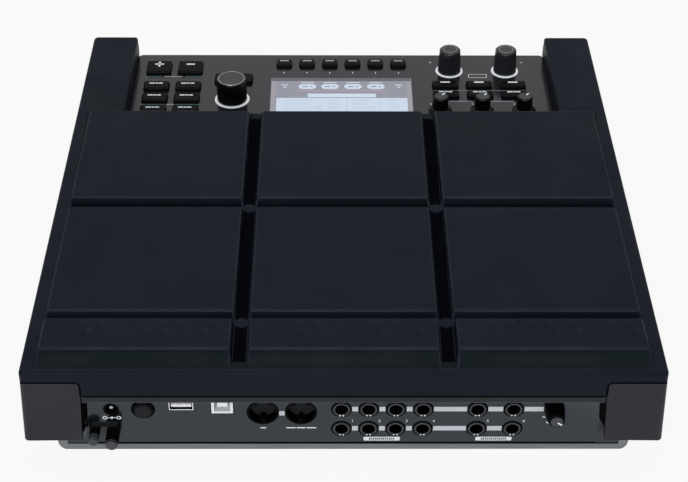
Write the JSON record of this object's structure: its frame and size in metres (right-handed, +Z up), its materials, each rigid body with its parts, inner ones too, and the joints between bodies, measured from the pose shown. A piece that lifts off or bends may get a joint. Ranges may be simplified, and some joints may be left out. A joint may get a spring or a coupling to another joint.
{
  "type": "electronic percussion pad",
  "caption": "Table-top electronic percussion pad: rubber playing surface with shoulder bars, sunk control bay with display, buttons and knobs, and a recessed socket panel.",
  "frame": {"origin": "middle of the overall box on the floor plane, under the feet", "axes": "+Z up, -Y towards the socket side, +Y towards the player, +X to the right as seen from the socket side"},
  "size_m": [0.3486, 0.3576, 0.072],
  "materials": {
    "overlay_rubber": "matte moulded rubber",
    "smoked_guide": "dark glossy light guide",
    "sensor_film": "printed film",
    "pad_steel": "plain sheet",
    "cushion_foam": "soft foam",
    "case_plastic": "fine matte texture",
    "tray_metal": "light grey metallic paint",
    "foot_rubber": "matte rubber",
    "insert_brass": "turned",
    "screw_steel": "dark plated",
    "panel_plastic": "satin slate grey",
    "black_plastic": "black, lightly glossy",
    "socket_metal": "bright plated",
    "board_green": "solder mask",
    "component_black": "moulded",
    "shaft_steel": "turned",
    "ribbon_grey": "flexible sheath",
    "control_plastic": "semi-gloss dark grey",
    "window_plastic": "lit display window",
    "ring_white": "milky white",
    "button_plastic": "matte dark grey",
    "knob_plastic": "satin black"
  },
  "bodies": {
    "body": {"pad_overlay": "overlay_rubber", "light_guides": "smoked_guide", "pad_sensors": "sensor_film", "pad_plates": "pad_steel", "pad_cushions": "cushion_foam", "top_case": "case_plastic", "bottom_tray": "tray_metal", "rubber_feet": "foot_rubber", "mount_inserts": "insert_brass", "case_screws": "screw_steel", "board_screws": "screw_steel", "rear_panel": "panel_plastic", "cable_hook": "black_plastic", "dc_socket": "black_plastic", "usb_host_socket": "socket_metal", "usb_device_socket": "socket_metal", "midi_sockets": "black_plastic", "jack_sockets": "black_plastic", "socket_board": "board_green", "power_switch": "component_black", "gain_potentiometer": "component_black", "main_board": "board_green", "board_standoffs": "insert_brass", "ribbon_cables": "ribbon_grey", "control_panel": "control_plastic", "display_window": "window_plastic", "display_module": "component_black", "control_board": "board_green", "tact_switches": "component_black", "rotary_sensors": "shaft_steel", "light_rings": "ring_white"},
    "power_button": {"power_button": "button_plastic"},
    "gain_knob": {"gain_knob": "knob_plastic"},
    "kit_plus_button": {"kit_plus_button": "button_plastic"},
    "kit_minus_button": {"kit_minus_button": "button_plastic"},
    "mode_button_1": {"mode_button_1": "button_plastic"},
    "mode_button_2": {"mode_button_2": "button_plastic"},
    "mode_button_3": {"mode_button_3": "button_plastic"},
    "mode_button_4": {"mode_button_4": "button_plastic"},
    "mode_button_5": {"mode_button_5": "button_plastic"},
    "mode_button_6": {"mode_button_6": "button_plastic"},
    "exit_button": {"exit_button": "button_plastic"},
    "function_button_1": {"function_button_1": "button_plastic"},
    "function_button_2": {"function_button_2": "button_plastic"},
    "function_button_3": {"function_button_3": "button_plastic"},
    "function_button_4": {"function_button_4": "button_plastic"},
    "function_button_5": {"function_button_5": "button_plastic"},
    "function_button_6": {"function_button_6": "button_plastic"},
    "select_button_1": {"select_button_1": "button_plastic"},
    "select_button_2": {"select_button_2": "button_plastic"},
    "select_button_3": {"select_button_3": "button_plastic"},
    "effect_button_1": {"effect_button_1": "button_plastic"},
    "effect_button_2": {"effect_button_2": "button_plastic"},
    "effect_button_3": {"effect_button_3": "button_plastic"},
    "data_knob": {"data_knob": "knob_plastic"},
    "control_knob_1": {"control_knob_1": "knob_plastic"},
    "control_knob_2": {"control_knob_2": "knob_plastic"},
    "level_knob_1": {"level_knob_1": "knob_plastic"},
    "level_knob_2": {"level_knob_2": "knob_plastic"},
    "level_knob_3": {"level_knob_3": "knob_plastic"}
  },
  "joints": [
    {"name": "power_button_press", "type": "slide", "parent": "body", "child": "power_button", "axis": [0, 1, 0], "range_m": [0, 0.0025], "stiffness_N_per_m": 700},
    {"name": "gain_knob_turn", "type": "hinge", "parent": "body", "child": "gain_knob", "pos_m": [0.115, -0.1662, 0.0328], "axis": [0, -1, 0], "range_deg": [-150, 150]},
    {"name": "kit_plus_button_press", "type": "slide", "parent": "body", "child": "kit_plus_button", "axis": [0, 0, -1], "range_m": [0, 0.001], "stiffness_N_per_m": 800},
    {"name": "kit_minus_button_press", "type": "slide", "parent": "body", "child": "kit_minus_button", "axis": [0, 0, -1], "range_m": [0, 0.001], "stiffness_N_per_m": 800},
    {"name": "mode_button_1_press", "type": "slide", "parent": "body", "child": "mode_button_1", "axis": [0, 0, -1], "range_m": [0, 0.001], "stiffness_N_per_m": 800},
    {"name": "mode_button_2_press", "type": "slide", "parent": "body", "child": "mode_button_2", "axis": [0, 0, -1], "range_m": [0, 0.001], "stiffness_N_per_m": 800},
    {"name": "mode_button_3_press", "type": "slide", "parent": "body", "child": "mode_button_3", "axis": [0, 0, -1], "range_m": [0, 0.001], "stiffness_N_per_m": 800},
    {"name": "mode_button_4_press", "type": "slide", "parent": "body", "child": "mode_button_4", "axis": [0, 0, -1], "range_m": [0, 0.001], "stiffness_N_per_m": 800},
    {"name": "mode_button_5_press", "type": "slide", "parent": "body", "child": "mode_button_5", "axis": [0, 0, -1], "range_m": [0, 0.001], "stiffness_N_per_m": 800},
    {"name": "mode_button_6_press", "type": "slide", "parent": "body", "child": "mode_button_6", "axis": [0, 0, -1], "range_m": [0, 0.001], "stiffness_N_per_m": 800},
    {"name": "exit_button_press", "type": "slide", "parent": "body", "child": "exit_button", "axis": [0, 0, -1], "range_m": [0, 0.001], "stiffness_N_per_m": 800},
    {"name": "function_button_1_press", "type": "slide", "parent": "body", "child": "function_button_1", "axis": [0, 0, -1], "range_m": [0, 0.001], "stiffness_N_per_m": 800},
    {"name": "function_button_2_press", "type": "slide", "parent": "body", "child": "function_button_2", "axis": [0, 0, -1], "range_m": [0, 0.001], "stiffness_N_per_m": 800},
    {"name": "function_button_3_press", "type": "slide", "parent": "body", "child": "function_button_3", "axis": [0, 0, -1], "range_m": [0, 0.001], "stiffness_N_per_m": 800},
    {"name": "function_button_4_press", "type": "slide", "parent": "body", "child": "function_button_4", "axis": [0, 0, -1], "range_m": [0, 0.001], "stiffness_N_per_m": 800},
    {"name": "function_button_5_press", "type": "slide", "parent": "body", "child": "function_button_5", "axis": [0, 0, -1], "range_m": [0, 0.001], "stiffness_N_per_m": 800},
    {"name": "function_button_6_press", "type": "slide", "parent": "body", "child": "function_button_6", "axis": [0, 0, -1], "range_m": [0, 0.001], "stiffness_N_per_m": 800},
    {"name": "select_button_1_press", "type": "slide", "parent": "body", "child": "select_button_1", "axis": [0, 0, -1], "range_m": [0, 0.001], "stiffness_N_per_m": 800},
    {"name": "select_button_2_press", "type": "slide", "parent": "body", "child": "select_button_2", "axis": [0, 0, -1], "range_m": [0, 0.001], "stiffness_N_per_m": 800},
    {"name": "select_button_3_press", "type": "slide", "parent": "body", "child": "select_button_3", "axis": [0, 0, -1], "range_m": [0, 0.001], "stiffness_N_per_m": 800},
    {"name": "effect_button_1_press", "type": "slide", "parent": "body", "child": "effect_button_1", "axis": [0, 0, -1], "range_m": [0, 0.001], "stiffness_N_per_m": 800},
    {"name": "effect_button_2_press", "type": "slide", "parent": "body", "child": "effect_button_2", "axis": [0, 0, -1], "range_m": [0, 0.001], "stiffness_N_per_m": 800},
    {"name": "effect_button_3_press", "type": "slide", "parent": "body", "child": "effect_button_3", "axis": [0, 0, -1], "range_m": [0, 0.001], "stiffness_N_per_m": 800},
    {"name": "data_knob_turn", "type": "hinge", "parent": "body", "child": "data_knob", "pos_m": [-0.0738, 0.1188, 0.058], "axis": [0, 0, 1], "continuous": true},
    {"name": "control_knob_1_turn", "type": "hinge", "parent": "body", "child": "control_knob_1", "pos_m": [0.07485, 0.1558, 0.058], "axis": [0, 0, 1], "continuous": true},
    {"name": "control_knob_2_turn", "type": "hinge", "parent": "body", "child": "control_knob_2", "pos_m": [0.11335, 0.1558, 0.058], "axis": [0, 0, 1], "continuous": true},
    {"name": "level_knob_1_turn", "type": "hinge", "parent": "body", "child": "level_knob_1", "pos_m": [0.0661, 0.1048, 0.058], "axis": [0, 0, 1], "range_deg": [-150, 150]},
    {"name": "level_knob_2_turn", "type": "hinge", "parent": "body", "child": "level_knob_2", "pos_m": [0.0941, 0.1048, 0.058], "axis": [0, 0, 1], "range_deg": [-150, 150]},
    {"name": "level_knob_3_turn", "type": "hinge", "parent": "body", "child": "level_knob_3", "pos_m": [0.1221, 0.1048, 0.058], "axis": [0, 0, 1], "range_deg": [-150, 150]}
  ]
}
